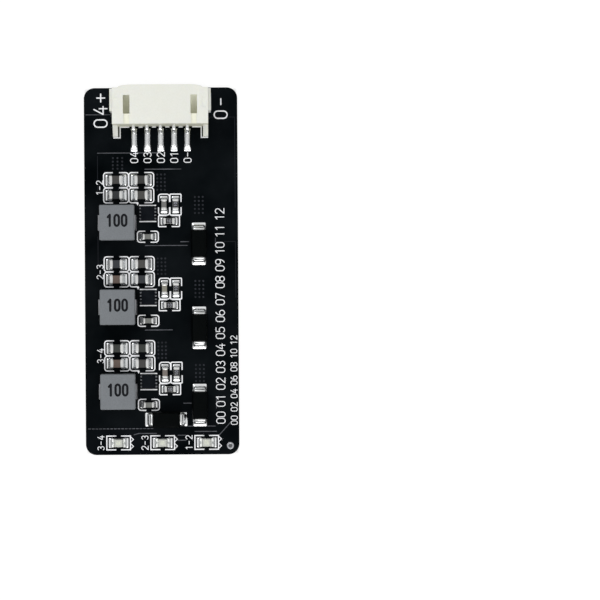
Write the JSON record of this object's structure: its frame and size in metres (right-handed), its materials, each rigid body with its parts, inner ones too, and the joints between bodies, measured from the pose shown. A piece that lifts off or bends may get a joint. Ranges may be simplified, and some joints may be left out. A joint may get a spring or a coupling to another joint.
{
  "type": "battery management board",
  "caption": "Narrow black circuit board that balances series cells: side-entry header at one end, repeated groups of inductor, chip and chip parts, diodes, and indicator lamps at the other end.",
  "frame": {"origin": "centre of the board's underside", "axes": "+Y along the board towards the header's mouth, +X to the right of the header seen from above, +Z out of the face that carries the parts"},
  "size_m": [0.023, 0.055, 0.0065],
  "materials": {
    "laminate": "satin black solder mask over glass-epoxy laminate",
    "tinned_copper": "bright hot-air levelled tin",
    "legend_ink": "printed white legend",
    "solder": "smooth reflowed solder",
    "header_nylon": "ivory moulded nylon",
    "tinned_brass": "bright tin over brass strip",
    "bulk_capacitor_ceramic": "sintered brown-grey ceramic with dipped metal ends",
    "small_capacitor_ceramic": "sintered beige ceramic with dipped metal ends",
    "inductor_powder": "fine matt grey pressed iron powder",
    "inductor_terminal": "dull tinned copper strip",
    "chip_epoxy": "matt moulded epoxy",
    "diode_epoxy": "matt moulded epoxy",
    "resistor_glaze": "black glaze on a white ceramic plate with metal ends",
    "lamp_base": "white base with gold-washed ends",
    "lamp_lens": "clear lens over a pale yellow-green phosphor"
  },
  "bodies": {
    "root": {"circuit_board": "laminate", "copper_pads": "tinned_copper", "silkscreen": "legend_ink", "solder_joints": "solder", "header_housing": "header_nylon", "header_tabs": "tinned_brass", "chip_lands": "tinned_copper", "header_contact_1": "tinned_brass", "header_contact_2": "tinned_brass", "header_contact_3": "tinned_brass", "header_contact_4": "tinned_brass", "header_contact_5": "tinned_brass", "bulk_capacitor_1a": "bulk_capacitor_ceramic", "bulk_capacitor_1b": "bulk_capacitor_ceramic", "bulk_capacitor_1c": "bulk_capacitor_ceramic", "bulk_capacitor_1d": "bulk_capacitor_ceramic", "inductor_core_1": "inductor_powder", "inductor_terminals_1": "inductor_terminal", "balancer_chip_1": "chip_epoxy", "timing_capacitor_1": "small_capacitor_ceramic", "bypass_capacitor_1": "small_capacitor_ceramic", "sense_resistor_1": "resistor_glaze", "set_resistor_1": "resistor_glaze", "lamp_base_1": "lamp_base", "lamp_lens_1": "lamp_lens", "bulk_capacitor_2a": "bulk_capacitor_ceramic", "bulk_capacitor_2b": "bulk_capacitor_ceramic", "bulk_capacitor_2c": "bulk_capacitor_ceramic", "bulk_capacitor_2d": "bulk_capacitor_ceramic", "inductor_core_2": "inductor_powder", "inductor_terminals_2": "inductor_terminal", "balancer_chip_2": "chip_epoxy", "timing_capacitor_2": "small_capacitor_ceramic", "bypass_capacitor_2": "small_capacitor_ceramic", "sense_resistor_2": "resistor_glaze", "set_resistor_2": "resistor_glaze", "lamp_base_2": "lamp_base", "lamp_lens_2": "lamp_lens", "bulk_capacitor_3a": "bulk_capacitor_ceramic", "bulk_capacitor_3b": "bulk_capacitor_ceramic", "bulk_capacitor_3c": "bulk_capacitor_ceramic", "bulk_capacitor_3d": "bulk_capacitor_ceramic", "inductor_core_3": "inductor_powder", "inductor_terminals_3": "inductor_terminal", "balancer_chip_3": "chip_epoxy", "timing_capacitor_3": "small_capacitor_ceramic", "bypass_capacitor_3": "small_capacitor_ceramic", "sense_resistor_3": "resistor_glaze", "set_resistor_3": "resistor_glaze", "lamp_base_3": "lamp_base", "lamp_lens_3": "lamp_lens", "diode_body_1": "diode_epoxy", "diode_leads_1": "tinned_copper", "diode_body_2": "diode_epoxy", "diode_leads_2": "tinned_copper", "diode_body_3": "diode_epoxy", "diode_leads_3": "tinned_copper", "diode_body_4": "diode_epoxy", "diode_leads_4": "tinned_copper"}
  },
  "joints": []
}
